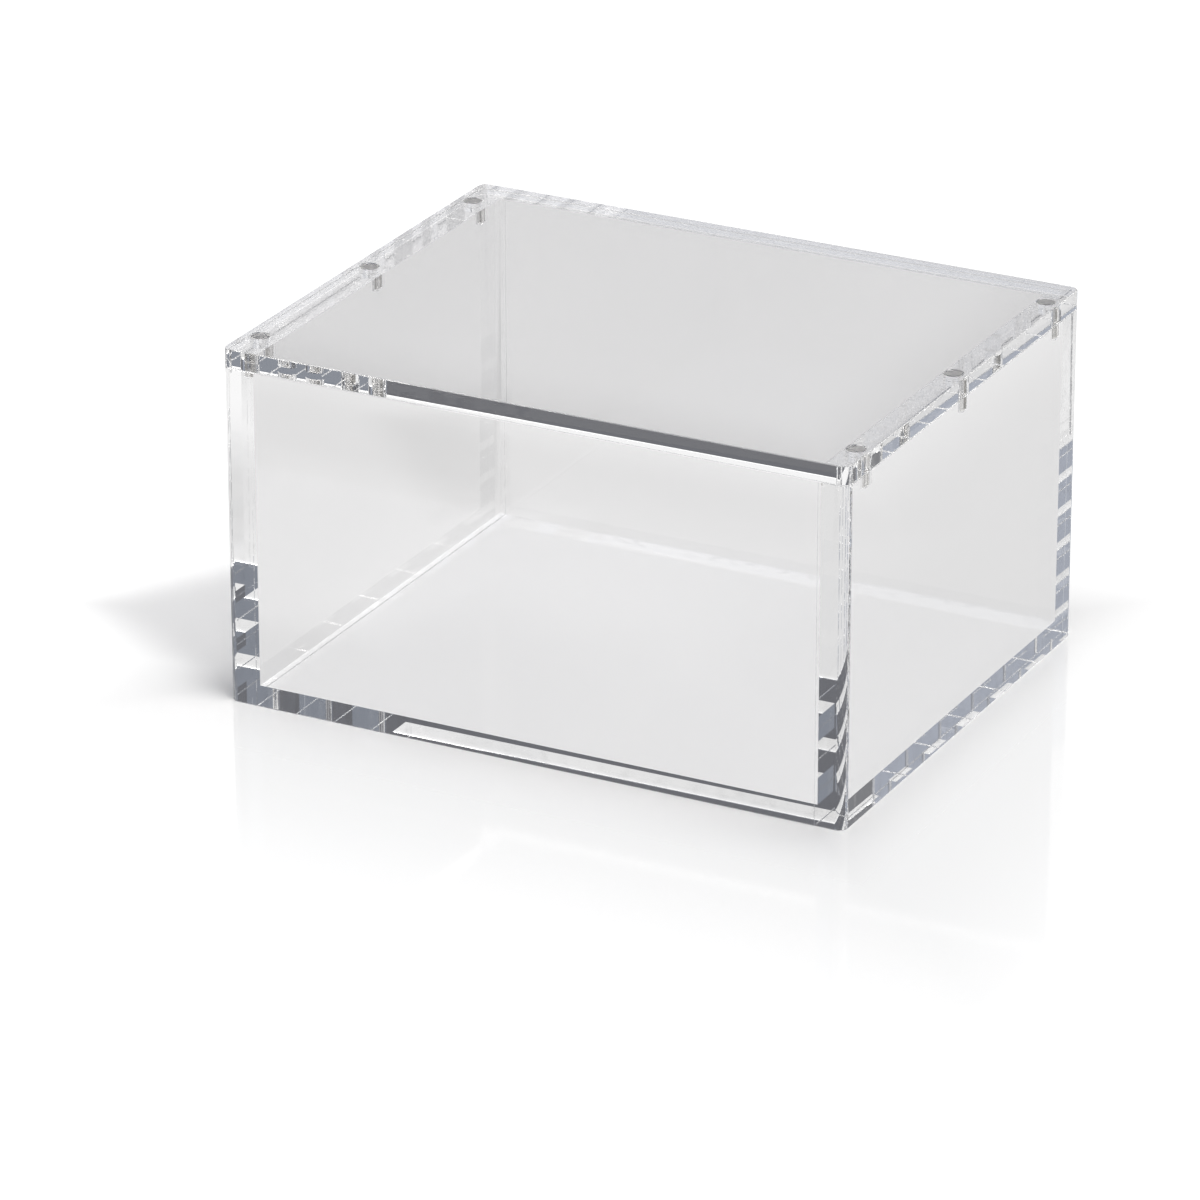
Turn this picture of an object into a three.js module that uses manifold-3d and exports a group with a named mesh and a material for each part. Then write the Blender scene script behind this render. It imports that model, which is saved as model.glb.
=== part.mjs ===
// Clear acrylic display case for a box of card packs: four cemented walls round an inset base panel,
// and a lift-off lid that pairs of disc magnets in the lid and in the side walls hold in place.
// Millimetres, +Z up. The origin is the middle of the footprint, on the surface the case stands on.
import * as THREE from 'three';
import { mergeVertices } from 'three/addons/utils/BufferGeometryUtils.js';
import Module from 'manifold-3d';

const wasm = await Module();
wasm.setup();

// The space inside, which the case is made to measure for
const insideWidth = 156; // along X
const insideDepth = 128; // along Y
const insideHeight = 85.3; // from the base panel up to the lid

// Sheet thicknesses and the round of the upright corners
const sideThickness = 8; // left and right walls, which hold the magnets
const frontThickness = 3; // the window, fitted between the side walls
const backThickness = 5; // also fitted between the side walls
const baseThickness = 5;
const lidThickness = 5;
const cornerRadius = 2.5;

// Magnets: one row along each side, with the lid's magnets over the walls' magnets
const magnetDiameter = 5;
const lidMagnetLength = 4;
const wallMagnetLength = 4;
const magnetEndInset = 12.5; // from the front and back faces to the nearest magnet's axis
const magnetRecess = 0.1; // of a magnet's face below the face that it is let into
const pocketClearance = 0.1; // between a magnet's round side and its pocket
const seatClearance = 0.1; // between a magnet's inner face and the end of its pocket
const drillPointAngle = 118; // whole angle of the cone that the drill leaves in a wall, in degrees

// Facets
const cornerSteps = 8; // in a quarter round
const roundSides = 32; // round a magnet or a pocket

// Overall sizes that follow from the ones above
const outsideWidth = insideWidth + 2 * sideThickness;
const outsideDepth = frontThickness + insideDepth + backThickness;
const insideMiddle = (frontThickness - backThickness) / 2; // of the space inside, along Y
const wallHeight = baseThickness + insideHeight;
const sideMiddle = insideWidth / 2 + sideThickness / 2; // from the middle of the case, along X
const magnetRow = { front: magnetEndInset - outsideDepth / 2, middle: 0, back: outsideDepth / 2 - magnetEndInset };
const sides = { left: -1, right: 1 };

const clearAcrylic = { color: 0xeef2f4, roughness: 0.04, metalness: 0, transparent: true, opacity: 0.3 };
const nickelPlate = { color: 0xc4c6c8, roughness: 0.18, metalness: 1 };

// A closed three.js geometry as a solid that can be cut
function solidOf(geometry) {
  const bare = geometry.clone();
  bare.deleteAttribute('normal');
  bare.deleteAttribute('uv');
  const merged = mergeVertices(bare);
  const vertProperties = new Float32Array(merged.attributes.position.array);
  const triVerts = new Uint32Array(merged.index.array);
  return new wasm.Manifold(new wasm.Mesh({ numProp: 3, vertProperties, triVerts }));
}

// A cut solid as a three.js geometry again
function geometryOf(solid) {
  const mesh = solid.getMesh();
  const geometry = new THREE.BufferGeometry();
  geometry.setAttribute('position', new THREE.BufferAttribute(new Float32Array(mesh.vertProperties), 3));
  geometry.setIndex(new THREE.BufferAttribute(new Uint32Array(mesh.triVerts), 1));
  geometry.computeVertexNormals();
  return geometry;
}

function cutAll(geometry, tools) {
  let solid = solidOf(geometry);
  for (const tool of tools) {
    solid = solid.subtract(solidOf(tool));
  }
  return geometryOf(solid);
}

function addPiece(group, name, geometry, finish) {
  const mesh = new THREE.Mesh(geometry, new THREE.MeshStandardMaterial(finish));
  mesh.name = name;
  group.add(mesh);
  return mesh;
}

// An outline in plan raised to a sheet that starts at a height
function sheet(outline, thickness, bottom) {
  const raised = { depth: thickness, bevelEnabled: false, curveSegments: cornerSteps };
  return new THREE.ExtrudeGeometry(outline, raised).translate(0, 0, bottom);
}

function rectangle(width, depth, middleY) {
  const outline = new THREE.Shape();
  outline.moveTo(-width / 2, middleY - depth / 2);
  outline.lineTo(width / 2, middleY - depth / 2);
  outline.lineTo(width / 2, middleY + depth / 2);
  outline.lineTo(-width / 2, middleY + depth / 2);
  outline.closePath();
  return outline;
}

// Adds one side of the case's outline in plan: its outer face between two rounded corners
function roundedSide(outline, side) {
  const x = side * (outsideWidth / 2 - cornerRadius);
  const y = outsideDepth / 2 - cornerRadius;
  const outward = side > 0 ? 0 : Math.PI;
  outline.absarc(x, -side * y, cornerRadius, outward - Math.PI / 2, outward, false);
  outline.absarc(x, side * y, cornerRadius, outward, outward + Math.PI / 2, false);
}

function sideWallOutline(side) {
  const outline = new THREE.Shape();
  outline.moveTo(side * insideWidth / 2, side * outsideDepth / 2);
  outline.lineTo(side * insideWidth / 2, -side * outsideDepth / 2);
  roundedSide(outline, side);
  outline.closePath();
  return outline;
}

function lidOutline() {
  const outline = new THREE.Shape();
  roundedSide(outline, sides.right);
  roundedSide(outline, sides.left);
  outline.closePath();
  return outline;
}

// Blind hole with a flat end, upwards from the lid's underside
function lidPocket(x, y) {
  const radius = magnetDiameter / 2 + pocketClearance;
  const depth = magnetRecess + lidMagnetLength + seatClearance;
  const overrun = depth; // the tool starts this far below the face it cuts
  const profile = [
    new THREE.Vector2(0, -overrun),
    new THREE.Vector2(radius, -overrun),
    new THREE.Vector2(radius, depth),
    new THREE.Vector2(0, depth),
  ];
  return round(profile, x, y, wallHeight);
}

// Blind hole with the drill's cone at its end, downwards from the top of a side wall
function wallPocket(x, y) {
  const radius = magnetDiameter / 2 + pocketClearance;
  const depth = magnetRecess + wallMagnetLength + seatClearance;
  const cone = radius / Math.tan(THREE.MathUtils.degToRad(drillPointAngle / 2));
  const overrun = depth; // the tool starts this far above the face it cuts
  const profile = [
    new THREE.Vector2(0, -depth - cone),
    new THREE.Vector2(radius, -depth),
    new THREE.Vector2(radius, overrun),
    new THREE.Vector2(0, overrun),
  ];
  return round(profile, x, y, wallHeight);
}

// A profile turned about an upright axis, with its heights counted from a level
function round(profile, x, y, level) {
  return new THREE.LatheGeometry(profile, roundSides).rotateX(Math.PI / 2).translate(x, y, level);
}

function magnet(length, x, y, bottom) {
  const profile = [
    new THREE.Vector2(0, 0),
    new THREE.Vector2(magnetDiameter / 2, 0),
    new THREE.Vector2(magnetDiameter / 2, length),
    new THREE.Vector2(0, length),
  ];
  return round(profile, x, y, bottom);
}

function rowPockets(pocket, side) {
  return Object.values(magnetRow).map((y) => pocket(side * sideMiddle, y));
}

function buildCase() {
  const box = new THREE.Group();
  const floor = rectangle(insideWidth, insideDepth, insideMiddle);
  addPiece(box, 'base_panel', sheet(floor, baseThickness, 0), clearAcrylic);

  const front = rectangle(insideWidth, frontThickness, frontThickness / 2 - outsideDepth / 2);
  addPiece(box, 'front_wall', sheet(front, wallHeight, 0), clearAcrylic);
  const back = rectangle(insideWidth, backThickness, outsideDepth / 2 - backThickness / 2);
  addPiece(box, 'back_wall', sheet(back, wallHeight, 0), clearAcrylic);

  for (const [name, side] of Object.entries(sides)) {
    const blank = sheet(sideWallOutline(side), wallHeight, 0);
    addPiece(box, `${name}_wall`, cutAll(blank, rowPockets(wallPocket, side)), clearAcrylic);
    const bottom = wallHeight - magnetRecess - wallMagnetLength;
    for (const [place, y] of Object.entries(magnetRow)) {
      const disc = magnet(wallMagnetLength, side * sideMiddle, y, bottom);
      addPiece(box, `wall_magnet_${name}_${place}`, disc, nickelPlate);
    }
  }
  return box;
}

function buildLid() {
  const lid = new THREE.Group();
  const blank = sheet(lidOutline(), lidThickness, wallHeight);
  const pockets = Object.values(sides).flatMap((side) => rowPockets(lidPocket, side));
  addPiece(lid, 'lid_panel', cutAll(blank, pockets), clearAcrylic);

  const bottom = wallHeight + magnetRecess;
  for (const [name, side] of Object.entries(sides)) {
    for (const [place, y] of Object.entries(magnetRow)) {
      const disc = magnet(lidMagnetLength, side * sideMiddle, y, bottom);
      addPiece(lid, `lid_magnet_${name}_${place}`, disc, nickelPlate);
    }
  }
  return lid;
}

const displayCase = new THREE.Group();
displayCase.add(buildCase(), buildLid());

export default displayCase;
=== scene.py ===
import math

import bmesh
import bpy
from mathutils import Matrix, Quaternion, Vector


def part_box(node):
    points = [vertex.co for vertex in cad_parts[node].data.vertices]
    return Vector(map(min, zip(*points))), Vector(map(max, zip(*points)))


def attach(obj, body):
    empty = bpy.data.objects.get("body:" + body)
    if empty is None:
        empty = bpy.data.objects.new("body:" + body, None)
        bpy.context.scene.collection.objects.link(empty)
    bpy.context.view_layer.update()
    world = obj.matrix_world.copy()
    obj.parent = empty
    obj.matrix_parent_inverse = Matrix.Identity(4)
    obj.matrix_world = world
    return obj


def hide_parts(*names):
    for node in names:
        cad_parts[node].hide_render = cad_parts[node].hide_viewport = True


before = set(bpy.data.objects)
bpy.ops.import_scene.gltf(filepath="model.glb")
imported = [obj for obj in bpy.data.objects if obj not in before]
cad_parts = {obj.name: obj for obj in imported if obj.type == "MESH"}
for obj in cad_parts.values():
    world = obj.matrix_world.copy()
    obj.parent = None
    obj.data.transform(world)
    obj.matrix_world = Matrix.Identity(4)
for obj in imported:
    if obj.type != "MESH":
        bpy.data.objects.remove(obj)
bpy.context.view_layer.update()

mm = 0.001

# Light turns back many times inside a clear sheet before it gets out
bounces = {"inside": 400, "diffuse": 4, "transparent": 64}

scene = bpy.context.scene
scene.view_settings.view_transform = "Standard"
scene.cycles.max_bounces = bounces["inside"]
scene.cycles.transmission_bounces = bounces["inside"]
scene.cycles.glossy_bounces = bounces["inside"]
scene.cycles.diffuse_bounces = bounces["diffuse"]
scene.cycles.transparent_max_bounces = bounces["transparent"]
scene.cycles.blur_glossy = 0.0


def socket(node, name, value):
    node.inputs[name].default_value = value


def grey(level):
    return (level, level, level)


def newMaterial(name):
    material = bpy.data.materials.new(name)
    material.use_nodes = True
    tree = material.node_tree
    return material, tree, tree.nodes["Principled BSDF"]


# Noise in the piece's own coordinates, drawn out where the look has a stretch
def noise(tree, look):
    where = tree.nodes.new("ShaderNodeTexCoord").outputs["Object"]
    if "stretch" in look:
        drawn = tree.nodes.new("ShaderNodeMapping")
        socket(drawn, "Scale", look["stretch"])
        tree.links.new(where, drawn.inputs["Vector"])
        where = drawn.outputs["Vector"]
    grain = tree.nodes.new("ShaderNodeTexNoise")
    socket(grain, "Scale", look["scale"])
    socket(grain, "Detail", look["detail"])
    tree.links.new(where, grain.inputs["Vector"])
    return grain.outputs["Fac"]


# Turns noise into colours between two stops, each a place on the ramp and its colour
def colours(tree, share, stops):
    band = tree.nodes.new("ShaderNodeValToRGB")
    for mark, (place, colour) in zip(band.color_ramp.elements, stops):
        mark.position = place
        mark.color = (*colour, 1.0)
    tree.links.new(share, band.inputs["Fac"])
    return band.outputs["Color"]


acrylic = {
    "ior": 1.49,
    "lidIor": 1.52,  # sets how deep the dark band in the lid's front edge is
    "haze": {"scale": 18.0, "detail": 3.0},
    "tint": ((0.3, (0.983, 0.980, 0.981)), (0.7, (0.995, 0.992, 0.993))),
}


def clearAcrylicFinish(name, ior):
    material, tree, shader = newMaterial(name)
    tint = colours(tree, noise(tree, acrylic["haze"]), acrylic["tint"])
    tree.links.new(tint, shader.inputs["Base Color"])
    socket(shader, "Roughness", 0.0)
    socket(shader, "Transmission Weight", 1.0)
    socket(shader, "IOR", ior)
    return material


sandedEdge = {
    "width": 0.20 * mm,
    "grain": {"scale": 1500.0, "detail": 2.0},
    "roughness": ((0.3, grey(0.20)), (0.7, grey(0.265))),  # denoising leaves grain over about 0.27
    "tone": ((0.3, grey(0.95)), (0.7, grey(0.99))),
}


def sandedEdgeFinish():
    material, tree, shader = newMaterial("sandedEdge")
    grain = noise(tree, sandedEdge["grain"])
    tree.links.new(colours(tree, grain, sandedEdge["roughness"]), shader.inputs["Roughness"])
    tree.links.new(colours(tree, grain, sandedEdge["tone"]), shader.inputs["Base Color"])
    socket(shader, "Transmission Weight", 1.0)
    socket(shader, "IOR", acrylic["ior"])
    return material


cement = {
    "flow": {"scale": 260.0, "detail": 2.0},
    "clear": ((0.25, grey(0.96)), (0.5, grey(1.0))),
}


# Cement joins two sheets into one, so light goes straight through it
def cementFinish():
    material, tree, shader = newMaterial("solventCement")
    tree.nodes.remove(shader)
    film = tree.nodes.new("ShaderNodeBsdfTransparent")
    clear = colours(tree, noise(tree, cement["flow"]), cement["clear"])
    tree.links.new(clear, film.inputs["Color"])
    tree.links.new(film.outputs["BSDF"], tree.nodes["Material Output"].inputs["Surface"])
    return material


# Noise in the nickel's colour: even on the flat ends, drawn out into dark and light streaks along the
# round side
nickel = {
    "end": {
        "grain": {"scale": 5200.0, "detail": 2.0},
        "tone": ((0.36, (0.80, 0.795, 0.78)), (0.62, (0.86, 0.855, 0.84))),
        "metallic": 0.34,
    },
    "side": {
        "grain": {"scale": 900.0, "detail": 2.0, "stretch": (1.0, 1.0, 0.04)},
        "tone": ((0.36, (0.26, 0.25, 0.23)), (0.62, (0.90, 0.895, 0.88))),
        "metallic": 0.85,
    },
    "roughness": ((0.3, grey(0.20)), (0.75, grey(0.265))),
}


def nickelFinish(face):
    look = nickel[face]
    material, tree, shader = newMaterial(f"nickelPlate.{face}")
    grain = noise(tree, look["grain"])
    tree.links.new(colours(tree, grain, look["tone"]), shader.inputs["Base Color"])
    tree.links.new(colours(tree, grain, nickel["roughness"]), shader.inputs["Roughness"])
    socket(shader, "Metallic", look["metallic"])
    return material


clearAcrylic = clearAcrylicFinish("clearAcrylic", acrylic["ior"])
lidAcrylic = clearAcrylicFinish("clearAcrylic.lid", acrylic["lidIor"])
solventCement = cementFinish()
sandedAcrylic = sandedEdgeFinish()
nickelPlate = [nickelFinish(face) for face in ("end", "side")]
print("finishes made")

# Metres, but for facing: the cosine over which a face looks along an axis
tolerance = {"place": 1e-6, "cut": 1e-7, "facing": 0.999}


def near(a, b):
    return abs(a - b) < tolerance["place"]


# A node's box as a mesh, with some taken off its foot
def block(node, trimFoot=0.0):
    low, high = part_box(node)
    low.z += trimFoot
    bm = bmesh.new()
    bmesh.ops.create_cube(bm, size=1.0)
    bmesh.ops.scale(bm, vec=high - low, verts=bm.verts)
    bmesh.ops.translate(bm, vec=(low + high) / 2, verts=bm.verts)
    return bm, low, high


def edgesWhere(bm, test):
    return [edge for edge in bm.edges if all(test(vert.co) for vert in edge.verts)]


def facesToward(bm, x, y, z):
    bm.normal_update()
    return [face for face in bm.faces if face.normal.dot(Vector((x, y, z))) > tolerance["facing"]]


def largest(faces):
    return max(faces, key=lambda face: face.calc_area())


def vertsOf(parts):
    return [part for part in parts if isinstance(part, bmesh.types.BMVert)]


def roundOver(bm, edges, width, steps):
    made = bmesh.ops.bevel(bm, geom=edges, offset=width, offset_type="OFFSET", segments=steps,
                           profile=0.5, affect="EDGES", material=-1)
    return made["faces"]


# Breaks edges with a narrow flat that stays as the sandpaper left it
def breakEdges(bm, edges, width, index):
    for face in roundOver(bm, edges, width, 1):
        face.material_index = index


def cutFaces(bm, faces, point, normal):
    parts = dict.fromkeys(faces)
    for face in faces:
        parts.update(dict.fromkeys(face.edges))
        parts.update(dict.fromkeys(face.verts))
    bmesh.ops.bisect_plane(bm, geom=list(parts), dist=tolerance["cut"], plane_co=point, plane_no=normal)


def finishPiece(bm, name, node, body, materials):
    bmesh.ops.recalc_face_normals(bm, faces=bm.faces)
    mesh = bpy.data.meshes.new(name)
    bm.to_mesh(mesh)
    bm.free()
    for material in materials:
        mesh.materials.append(material)
    piece = bpy.data.objects.new(name, mesh)
    scene.collection.objects.link(piece)
    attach(piece, body)
    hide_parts(node)
    return piece


sides = ("left", "right")
magnetPlaces = ("front", "middle", "back")  # along each side

pocket = {"clearance": 0.1 * mm, "seat": 0.1 * mm, "tipAngle": 140.0, "sides": 48}
magnetLow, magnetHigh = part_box("wall_magnet_left_front")
pocketRadius = (magnetHigh.x - magnetLow.x) / 2 + pocket["clearance"]


def magnetMiddles(kind, side):
    boxes = [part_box(f"{kind}_magnet_{side}_{place}") for place in magnetPlaces]
    return [(low + high) / 2 for low, high in boxes]


# Blind holes in one level face, which end flat where the tip is 0 and in a cone where it is more
def drillPockets(bm, face, middles, depth, tip):
    level = face.calc_center_median().z
    outward = 1.0 if face.normal.z > 0 else -1.0
    outline = list(face.edges)
    bmesh.ops.delete(bm, geom=[face], context="FACES_ONLY")
    rings = []
    for middle in middles:
        place = Matrix.Translation((middle.x, middle.y, level))
        circle = bmesh.ops.create_circle(bm, cap_ends=False, radius=pocketRadius,
                                         segments=pocket["sides"], matrix=place)
        ringEdges = [edge for vert in circle["verts"] for edge in vert.link_edges]
        rings.append(list(dict.fromkeys(ringEdges)))
    edges = outline + [edge for ring in rings for edge in ring]
    bmesh.ops.triangle_fill(bm, use_beauty=True, use_dissolve=False, edges=edges, normal=(0, 0, outward))
    for ring in rings:
        sunk = bmesh.ops.extrude_edge_only(bm, edges=ring)["geom"]
        foot = vertsOf(sunk)
        sunkEdges = [part for part in sunk if isinstance(part, bmesh.types.BMEdge)]
        footEdges = [edge for edge in sunkEdges if all(vert in foot for vert in edge.verts)]
        bmesh.ops.translate(bm, vec=(0, 0, -outward * depth), verts=foot)
        end = bmesh.ops.contextual_create(bm, geom=footEdges)["faces"]
        if tip > 0:
            point = bmesh.ops.poke(bm, faces=end)["verts"]
            bmesh.ops.translate(bm, vec=(0, 0, -outward * tip), verts=point)


caseFinish = [clearAcrylic, solventCement, sandedAcrylic]
caseIndex = {"cement": 1, "sanded": 2}
cornerRound = {"radius": 2.5 * mm, "steps": 28}
jointLine = {"width": 0.07 * mm, "steps": 2}  # at the case's upright joints
jointGroove = {"width": 0.18 * mm}  # under the joints of the base and the side walls

insideLow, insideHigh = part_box("base_panel")
baseTop = insideHigh.z


def buildSideWall(side):
    sign = -1 if side == "left" else 1
    bm, low, high = block(f"{side}_wall")
    outer = high.x if sign > 0 else low.x
    inner = low.x if sign > 0 else high.x
    upright = edgesWhere(bm, lambda co: near(co.x, outer))
    upright = [edge for edge in upright if near(edge.verts[0].co.y, edge.verts[1].co.y)]
    roundOver(bm, upright, cornerRound["radius"], cornerRound["steps"])
    rims = [edge for level in (low.z, high.z) for edge in edgesWhere(bm, lambda co: near(co.z, level))]
    rims = [edge for edge in rims if not all(near(vert.co.x, inner) for vert in edge.verts)]
    breakEdges(bm, rims, sandedEdge["width"], caseIndex["sanded"])
    joints = [edge for end in (low.y, high.y)
              for edge in edgesWhere(bm, lambda co: near(co.x, inner) and near(co.y, end))]
    roundOver(bm, joints, jointLine["width"], jointLine["steps"])
    foot = edgesWhere(bm, lambda co: near(co.x, inner) and near(co.z, low.z))
    breakEdges(bm, foot, jointGroove["width"], caseIndex["sanded"])

    top = largest(facesToward(bm, 0, 0, 1))
    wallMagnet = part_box(f"wall_magnet_{side}_front")
    depth = high.z - wallMagnet[0].z + pocket["seat"]
    tip = pocketRadius / math.tan(math.radians(pocket["tipAngle"] / 2))
    drillPockets(bm, top, magnetMiddles("wall", side), depth, tip)

    # Cement where the end walls and the base meet the inner face
    for y in (insideLow.y, insideHigh.y):
        cutFaces(bm, facesToward(bm, -sign, 0, 0), (0, y, 0), (0, 1, 0))
    cutFaces(bm, facesToward(bm, -sign, 0, 0), (0, 0, baseTop), (0, 0, 1))
    for face in facesToward(bm, -sign, 0, 0):
        middle = face.calc_center_median()
        onWall = near(middle.x, inner)
        if onWall and (not insideLow.y < middle.y < insideHigh.y or middle.z < baseTop):
            face.material_index = caseIndex["cement"]
    piece = finishPiece(bm, f"{side}_wall_sheet", f"{side}_wall", "case", caseFinish)


def buildEndWall(end):
    sign = -1 if end == "front" else 1
    bm, low, high = block(f"{end}_wall")
    outer = high.y if sign > 0 else low.y
    rims = [edge for level in (low.z, high.z)
            for edge in edgesWhere(bm, lambda co: near(co.z, level) and near(co.y, outer))]
    breakEdges(bm, rims, sandedEdge["width"], caseIndex["sanded"])
    joints = [edge for x in (low.x, high.x)
              for edge in edgesWhere(bm, lambda co: near(co.x, x) and near(co.y, outer))]
    roundOver(bm, joints, jointLine["width"], jointLine["steps"])
    cutFaces(bm, facesToward(bm, 0, -sign, 0), (0, 0, baseTop), (0, 0, 1))
    for face in facesToward(bm, 0, -sign, 0):
        if face.calc_center_median().z < baseTop:
            face.material_index = caseIndex["cement"]
    for face in facesToward(bm, 1, 0, 0) + facesToward(bm, -1, 0, 0):
        face.material_index = caseIndex["cement"]
    piece = finishPiece(bm, f"{end}_wall_sheet", f"{end}_wall", "case", caseFinish)


def buildBase():
    bm, low, high = block("base_panel")
    feet = [edge for x in (low.x, high.x)
            for edge in edgesWhere(bm, lambda co: near(co.x, x) and near(co.z, low.z))]
    breakEdges(bm, feet, jointGroove["width"], caseIndex["sanded"])
    for x, y in ((1, 0), (-1, 0), (0, 1), (0, -1)):
        for face in facesToward(bm, x, y, 0):
            face.material_index = caseIndex["cement"]
    piece = finishPiece(bm, "base_sheet", "base_panel", "case", caseFinish)


lidFinish = [lidAcrylic, sandedAcrylic]
lidIndex = {"sanded": 1}
lidSeat = {"gap": 0.05 * mm}  # between the lid and the tops of the walls


def buildLid():
    bm, low, high = block("lid_panel", lidSeat["gap"])
    upright = [edge for edge in bm.edges if not near(edge.verts[0].co.z, edge.verts[1].co.z)]
    roundOver(bm, upright, cornerRound["radius"], cornerRound["steps"])
    rims = [edge for level in (low.z, high.z) for edge in edgesWhere(bm, lambda co: near(co.z, level))]
    breakEdges(bm, rims, sandedEdge["width"], lidIndex["sanded"])
    under = largest(facesToward(bm, 0, 0, -1))
    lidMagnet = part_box("lid_magnet_left_front")
    depth = lidMagnet[1].z - low.z + pocket["seat"]
    middles = [middle for side in sides for middle in magnetMiddles("lid", side)]
    drillPockets(bm, under, middles, depth, 0.0)
    piece = finishPiece(bm, "lid_sheet", "lid_panel", "lid", lidFinish)


buildBase()
for end in ("front", "back"):
    buildEndWall(end)
for side in sides:
    buildSideWall(side)
buildLid()
print("acrylic sheets made")

magnetIndex = {"end": 0, "side": 1}
magnetDisc = {"sides": 64, "rim": 0.28 * mm, "rimSteps": 4, "sideSlope": 0.1}


def buildMagnet(node, body):
    low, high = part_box(node)
    middle = (low + high) / 2
    bm = bmesh.new()
    place = Matrix.Translation((middle.x, middle.y, low.z))
    bmesh.ops.create_circle(bm, cap_ends=True, radius=(high.x - low.x) / 2,
                            segments=magnetDisc["sides"], matrix=place)
    raised = bmesh.ops.extrude_face_region(bm, geom=list(bm.faces))["geom"]
    bmesh.ops.translate(bm, vec=(0, 0, high.z - low.z), verts=vertsOf(raised))
    rims = [edge for edge in bm.edges if near(edge.verts[0].co.z, edge.verts[1].co.z)]
    roundOver(bm, rims, magnetDisc["rim"], magnetDisc["rimSteps"])
    bm.normal_update()
    for face in bm.faces:
        onSide = abs(face.normal.z) < magnetDisc["sideSlope"]
        face.material_index = magnetIndex["side" if onSide else "end"]
    piece = finishPiece(bm, f"{node}_disc", node, body, nickelPlate)


for side in sides:
    for place in magnetPlaces:
        buildMagnet(f"wall_magnet_{side}_{place}", "case")
        buildMagnet(f"lid_magnet_{side}_{place}", "lid")
print("magnets made")


def joined(tree, operation, first, second):
    both = tree.nodes.new("ShaderNodeMath")
    both.operation = operation
    tree.links.new(first, both.inputs[0])
    tree.links.new(second, both.inputs[1])
    return both.outputs["Value"]


# Blends a colour into one plain colour
def blended(tree, share, colour, plain):
    paper = tree.nodes.new("ShaderNodeMix")
    paper.data_type = "RGBA"
    paper.inputs["B"].default_value = (*plain, 1.0)
    tree.links.new(share, paper.inputs["Factor"])
    tree.links.new(colour, paper.inputs["A"])
    return paper.outputs["Result"]


# Each place is a rectangle on the table, turned by some degrees. Its share goes from the first value
# to the second between the two distances of the fade, which count outwards from the rectangle
tableTop = {
    "size": 14.0,
    "squares": 2,  # along each side
    "drop": 0.12 * mm,  # below the case
    "cloud": {"scale": 3.0, "detail": 2.0},
    "colour": ((0.3, grey(0.965)), (0.7, grey(0.975))),
    "roughness": 0.06,
    "ior": 1.62,
    # Soft shade where the case stands on the table
    "contact": {"reach": 0.024, "samples": 12, "least": 0.5, "closed": 0.79},
    # The camera sees white paper outside these two
    "open": {"middle": (-0.010, 0.006), "turn": 0.0, "half": (0.078, 0.064),
             "fade": (0.0, 0.040), "share": (0.0, 1.0)},
    "shadow": {"middle": (-0.1010, -0.0240), "turn": -30.3, "half": (0.028, 0.0200),
               "fade": (0.0, 0.022), "share": (0.17, 1.0)},
    # How bright that glowing paper is: painted shade makes it dimmer close to the case than away from it
    "white": {"middle": (0.0, 0.0), "turn": 0.0, "half": (0.086, 0.068),
              "fade": (0.015, 0.10), "share": (0.88, 1.0)},
    # Acrylic, metal and the table's sheen see a glowing white card, with painted light and painted shade
    # added to it by place
    "card": 0.595,
    # Painted light: the card is brighter under the case
    "under": {"middle": (0.0, 0.0), "turn": 0.0, "half": (0.086, 0.068),
              "fade": (-0.003, 0.003), "share": (0.34, 0.0)},
    # Painted light: the card is brighter towards the back left of the case
    "back": {"middle": (-0.045, 0.05), "turn": 0.0, "half": (0.02, 0.01),
             "fade": (0.0, 0.07), "share": (0.065, 0.0)},
    # Painted light: the card is brighter on the table left of the case
    "left": {"middle": (-0.116, 0.030), "turn": 0.0, "half": (0.045, 0.050),
             "fade": (-0.01, 0.015), "share": (0.06, 0.0)},
    # Painted shadow: a darker band on the card behind and left of the case
    "paintedShadowBackLeft": {"middle": (-0.117, 0.101), "turn": 132.0, "half": (0.028, 0.004),
             "fade": (0.0, 0.018), "share": (-0.08, 0.0)},
    # Painted light: the card is brighter far behind the case, to the left
    "beyond": {"middle": (-1.045, 1.17), "turn": 0.0, "half": (1.0, 1.0),
               "fade": (0.0, 0.06), "share": (0.205, 0.0)},
    # Painted light: the card is brighter under the left wall, standing in for light that comes down
    # through it
    "foot": {"middle": (-0.082, 0.0), "turn": 0.0, "half": (0.004, 0.068),
             "fade": (-0.0025, 0.0005), "share": (0.20, 0.0)},
}


def sharePlace(tree, where, name):
    place = tableTop[name]
    local = tree.nodes.new("ShaderNodeMapping")
    local.vector_type = "TEXTURE"
    socket(local, "Location", (*place["middle"], 0.0))
    socket(local, "Rotation", (0.0, 0.0, math.radians(place["turn"])))
    away = tree.nodes.new("ShaderNodeVectorMath")
    away.operation = "ABSOLUTE"
    past = tree.nodes.new("ShaderNodeVectorMath")
    past.operation = "SUBTRACT"
    past.inputs[1].default_value = (*place["half"], 0.0)
    split = tree.nodes.new("ShaderNodeSeparateXYZ")
    tree.links.new(where.outputs["Object"], local.inputs["Vector"])
    tree.links.new(local.outputs["Vector"], away.inputs[0])
    tree.links.new(away.outputs["Vector"], past.inputs[0])
    tree.links.new(past.outputs["Vector"], split.inputs["Vector"])
    fade = tree.nodes.new("ShaderNodeMapRange")
    fade.interpolation_type = "SMOOTHSTEP"
    socket(fade, "From Min", place["fade"][0])
    socket(fade, "From Max", place["fade"][1])
    socket(fade, "To Min", place["share"][0])
    socket(fade, "To Max", place["share"][1])
    outside = joined(tree, "MAXIMUM", split.outputs["X"], split.outputs["Y"])
    tree.links.new(outside, fade.inputs["Value"])
    return fade.outputs["Result"]


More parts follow.
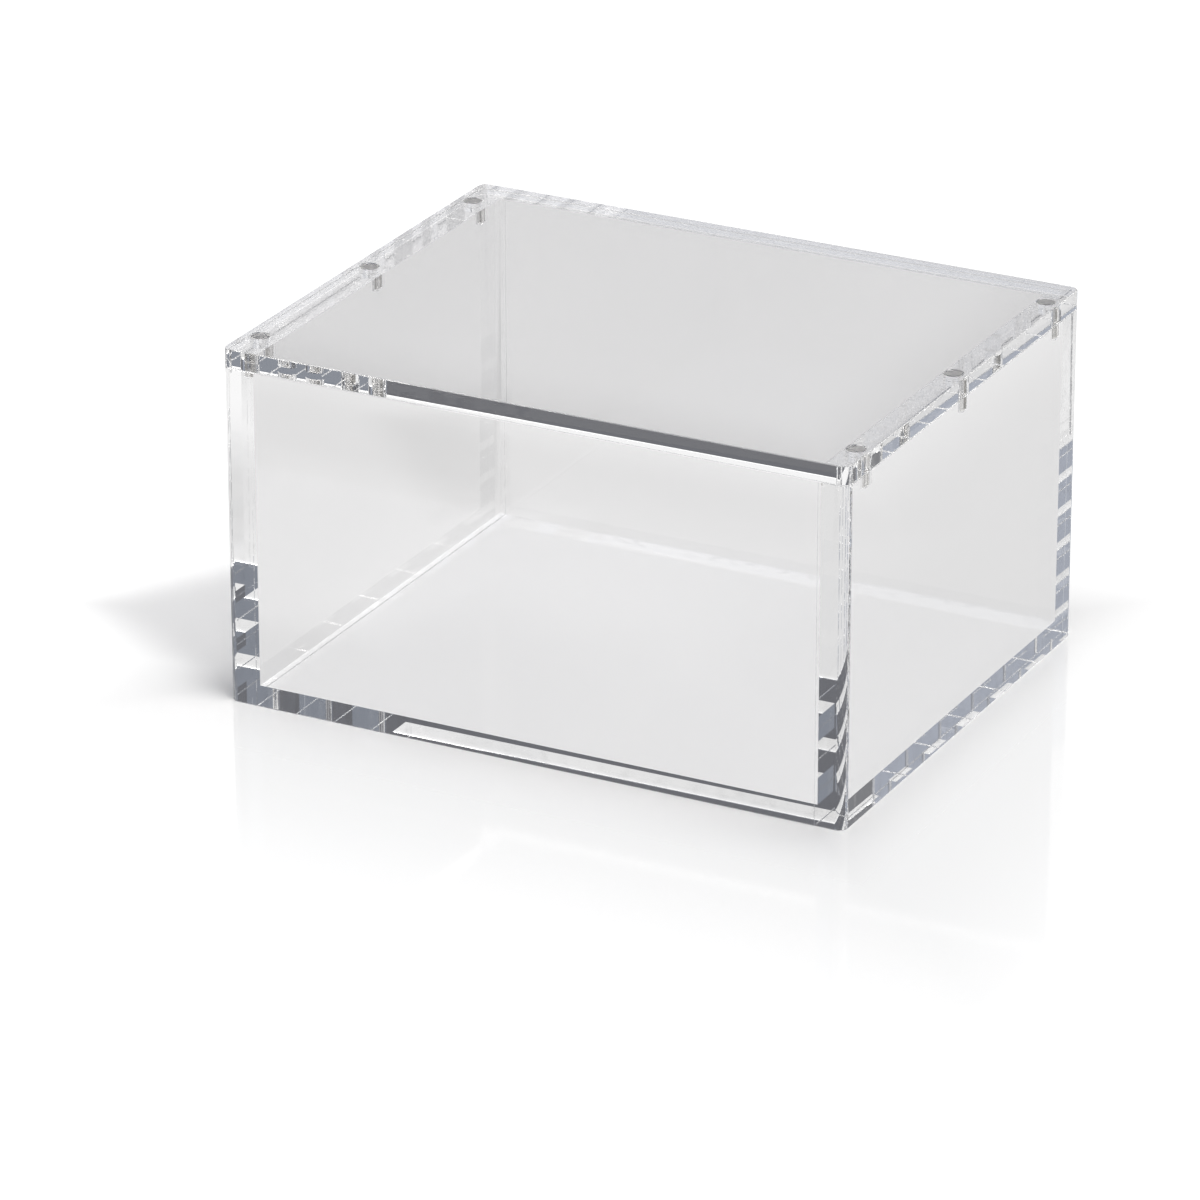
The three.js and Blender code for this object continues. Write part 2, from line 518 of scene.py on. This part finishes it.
def contactShade(tree, colour):
    contact = tableTop["contact"]
    shade = tree.nodes.new("ShaderNodeAmbientOcclusion")
    shade.samples = contact["samples"]
    socket(shade, "Distance", contact["reach"])
    depth = tree.nodes.new("ShaderNodeMapRange")
    socket(depth, "From Min", contact["least"])
    socket(depth, "To Min", contact["closed"])
    shaded = tree.nodes.new("ShaderNodeVectorMath")
    shaded.operation = "SCALE"
    tree.links.new(shade.outputs["AO"], depth.inputs["Value"])
    tree.links.new(colour, shaded.inputs["Vector"])
    tree.links.new(depth.outputs["Result"], shaded.inputs["Scale"])
    return shaded.outputs["Vector"]


# The card's glow, with the places' painted light and painted shade added to it
def cardLevel(tree, where):
    card = sharePlace(tree, where, "under")
    for name in ("back", "left", "paintedShadowBackLeft", "beyond"):
        card = joined(tree, "ADD", card, sharePlace(tree, where, name))
    toned = tree.nodes.new("ShaderNodeMath")
    toned.operation = "ADD"
    toned.use_clamp = True
    toned.inputs[1].default_value = tableTop["card"]
    tree.links.new(card, toned.inputs[0])
    return joined(tree, "ADD", toned.outputs["Value"], sharePlace(tree, where, "foot"))


def tableFinish():
    material, tree, shader = newMaterial("whiteTable")
    where = tree.nodes.new("ShaderNodeTexCoord")
    tone = colours(tree, noise(tree, tableTop["cloud"]), tableTop["colour"])
    rays = tree.nodes.new("ShaderNodeLightPath")
    outside = [sharePlace(tree, where, name) for name in ("open", "shadow")]
    seen = joined(tree, "MULTIPLY", rays.outputs["Is Camera Ray"], joined(tree, "MINIMUM", *outside))
    mirrored = joined(tree, "MAXIMUM", rays.outputs["Is Glossy Ray"], rays.outputs["Is Transmission Ray"])
    bare = joined(tree, "MULTIPLY", seen, sharePlace(tree, where, "white"))
    glow = joined(tree, "ADD", bare, joined(tree, "MULTIPLY", mirrored, cardLevel(tree, where)))
    # Where the white glows, the table's own colour gives way to black
    glowing = joined(tree, "MAXIMUM", seen, mirrored)
    paper = blended(tree, glowing, contactShade(tree, tone), grey(0.0))
    tree.links.new(paper, shader.inputs["Base Color"])
    tree.links.new(glow, shader.inputs["Emission Strength"])
    socket(shader, "Emission Color", (1.0, 1.0, 1.0, 1.0))
    socket(shader, "Roughness", tableTop["roughness"])
    socket(shader, "IOR", tableTop["ior"])
    return material


def buildTable():
    bm = bmesh.new()
    squares = tableTop["squares"]
    bmesh.ops.create_grid(bm, x_segments=squares, y_segments=squares, size=tableTop["size"] / 2)
    bmesh.ops.translate(bm, vec=(0, 0, -tableTop["drop"]), verts=bm.verts)
    mesh = bpy.data.meshes.new("table_top")
    bm.to_mesh(mesh)
    bm.free()
    mesh.materials.append(tableFinish())
    table = bpy.data.objects.new("table_top", mesh)
    scene.collection.objects.link(table)


# A dim room with soft boxes in it, which fade out between their inner and outer angles in degrees
studioLight = {
    "room": (0.120, 0.123, 0.137),
    "keyBox": {"toward": (0.56, -0.33, 0.76), "inner": 12.0, "outer": 27.0,
               "level": 6.6, "colour": (1.02, 1.0, 0.972)},
    "fill": {"toward": (-0.50, -0.78, 0.36), "inner": 10.0, "outer": 52.0,
             "level": 0.27, "colour": (0.82, 0.93, 1.16)},
    "backFill": {"toward": (0.62, 0.70, 0.36), "inner": 10.0, "outer": 44.0,
                 "level": 0.11, "colour": (0.80, 0.95, 1.18)},
}


# Adds a soft box to the light so far, or to the room where it is the first
def softBox(tree, where, box, soFar):
    toward = tree.nodes.new("ShaderNodeVectorMath")
    toward.operation = "DOT_PRODUCT"
    toward.inputs[1].default_value = Vector(box["toward"]).normalized()
    spread = tree.nodes.new("ShaderNodeMapRange")
    spread.interpolation_type = "SMOOTHSTEP"
    socket(spread, "From Min", math.cos(math.radians(box["outer"])))
    socket(spread, "From Max", math.cos(math.radians(box["inner"])))
    socket(spread, "To Max", box["level"])
    added = tree.nodes.new("ShaderNodeVectorMath")
    added.operation = "MULTIPLY_ADD"
    added.inputs[1].default_value = box["colour"]
    if soFar:
        tree.links.new(soFar, added.inputs[2])
    else:
        added.inputs[2].default_value = studioLight["room"]
    tree.links.new(where.outputs["Generated"], toward.inputs[0])
    tree.links.new(toward.outputs["Value"], spread.inputs["Value"])
    tree.links.new(spread.outputs["Result"], added.inputs[0])
    return added.outputs["Vector"]


def buildLight():
    world = bpy.data.worlds.new("studio")
    scene.world = world
    world.use_nodes = True
    tree = world.node_tree
    where = tree.nodes.new("ShaderNodeTexCoord")
    lit = None
    for name in ("keyBox", "fill", "backFill"):
        lit = softBox(tree, where, studioLight[name], lit)
    # Sheen that isn't a sharp mirror sees white paper round the set
    rays = tree.nodes.new("ShaderNodeLightPath")
    dull = tree.nodes.new("ShaderNodeMath")
    dull.operation = "SUBTRACT"
    dull.use_clamp = True
    tree.links.new(rays.outputs["Is Glossy Ray"], dull.inputs[0])
    tree.links.new(rays.outputs["Is Singular Ray"], dull.inputs[1])
    paper = blended(tree, dull.outputs["Value"], lit, grey(1.0))
    tree.links.new(paper, tree.nodes["Background"].inputs["Color"])


cameraView = {
    "place": (0.73283, -1.44014, 0.71113),
    "aim": (-0.00759, -0.01581, 0.02303),
    "roll": -0.09,  # degrees
    "lens": 207.24,
    "sensor": 36.0,
    "reach": 100.0,
}


def buildCamera():
    lens = bpy.data.cameras.new("camera")
    lens.lens = cameraView["lens"]
    lens.sensor_width = cameraView["sensor"]
    lens.clip_end = cameraView["reach"]
    camera = bpy.data.objects.new("camera", lens)
    camera.location = cameraView["place"]
    line = Vector(cameraView["aim"]) - Vector(cameraView["place"])
    turn = line.to_track_quat("-Z", "Y") @ Quaternion((0, 0, 1), math.radians(cameraView["roll"]))
    camera.rotation_euler = turn.to_euler()
    scene.collection.objects.link(camera)
    scene.camera = camera


buildTable()
buildLight()
buildCamera()
print("table, light and camera set")
